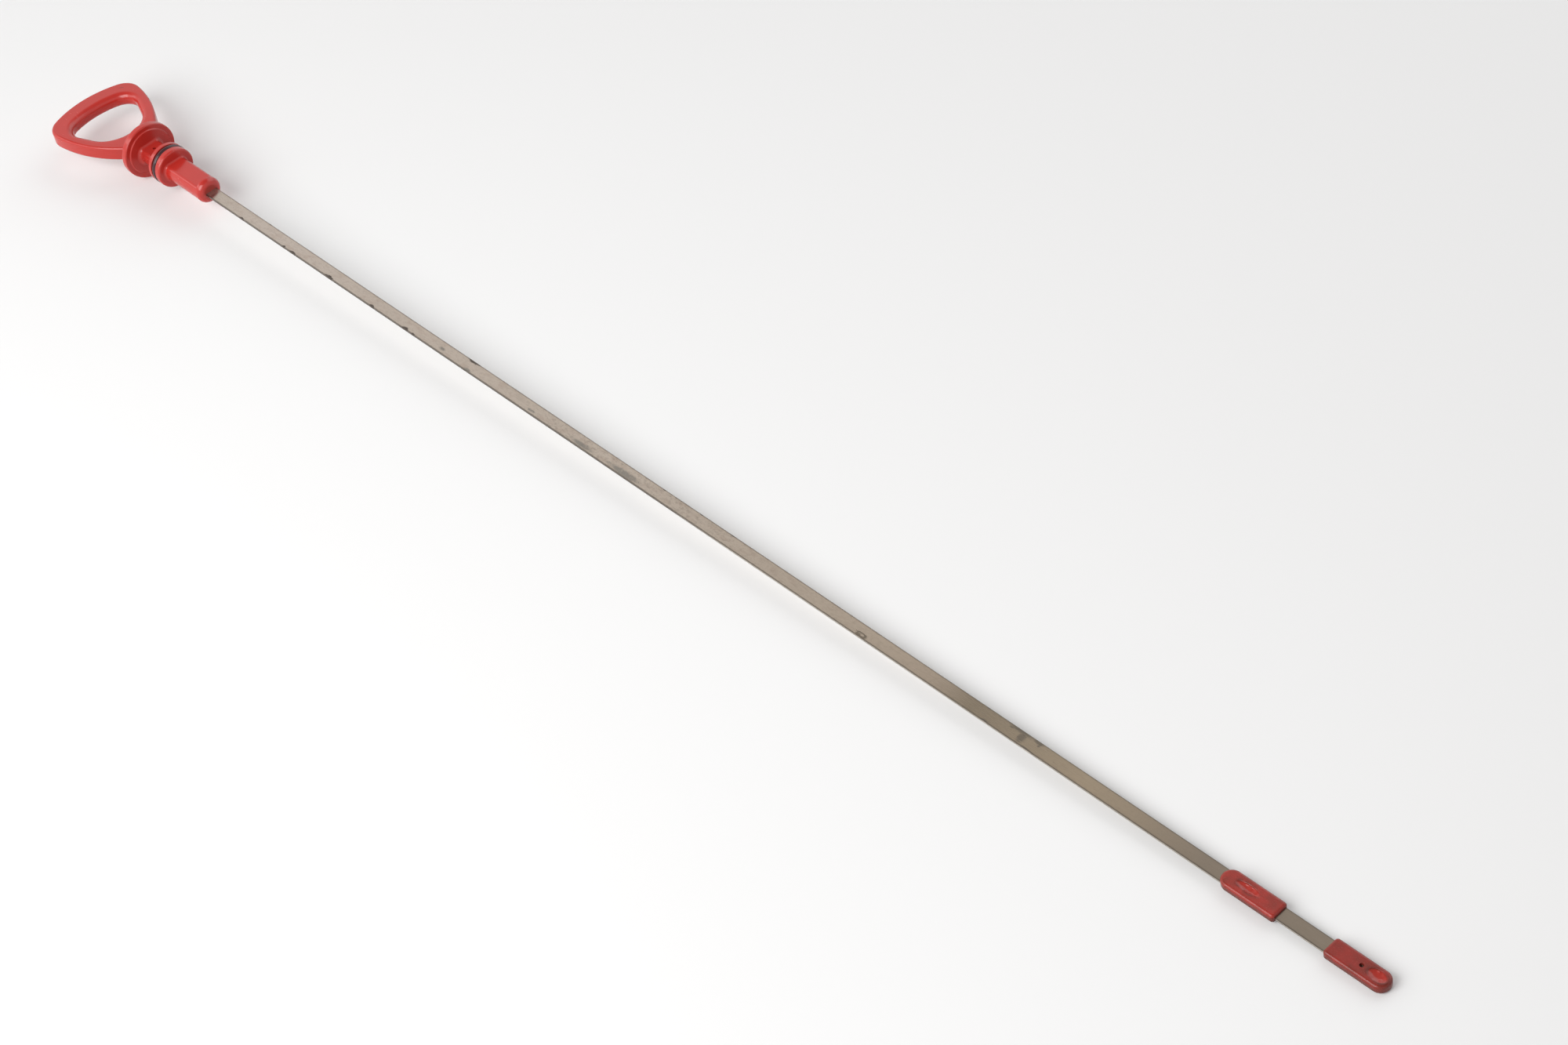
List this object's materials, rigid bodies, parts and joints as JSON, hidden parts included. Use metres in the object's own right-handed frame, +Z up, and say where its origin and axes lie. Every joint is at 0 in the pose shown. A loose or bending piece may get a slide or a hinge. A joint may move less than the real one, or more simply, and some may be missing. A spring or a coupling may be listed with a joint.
{
  "type": "engine oil dipstick",
  "caption": "Engine oil dipstick lying flat: moulded finger-loop handle with flange, sealed collar and stem, a long flat steel gauge strip and moulded level markers at its tip.",
  "frame": {"origin": "middle of the bounding box, on the level surface that the stick lies on", "axes": "+X along the stick from the finger loop to the tip, +Z up out of the strip's upper face, +Y across the loop"},
  "size_m": [0.6912, 0.0424, 0.024],
  "materials": {
    "handle_plastic": "glossy moulded red",
    "marker_plastic": "dull moulded red",
    "strip_steel": "worn and stained steel",
    "seal_rubber": "black rubber"
  },
  "bodies": {
    "root": {"handle": "handle_plastic", "seal_ring": "seal_rubber", "gauge_strip": "strip_steel", "full_marker": "marker_plastic", "tip_marker": "marker_plastic"}
  },
  "joints": []
}
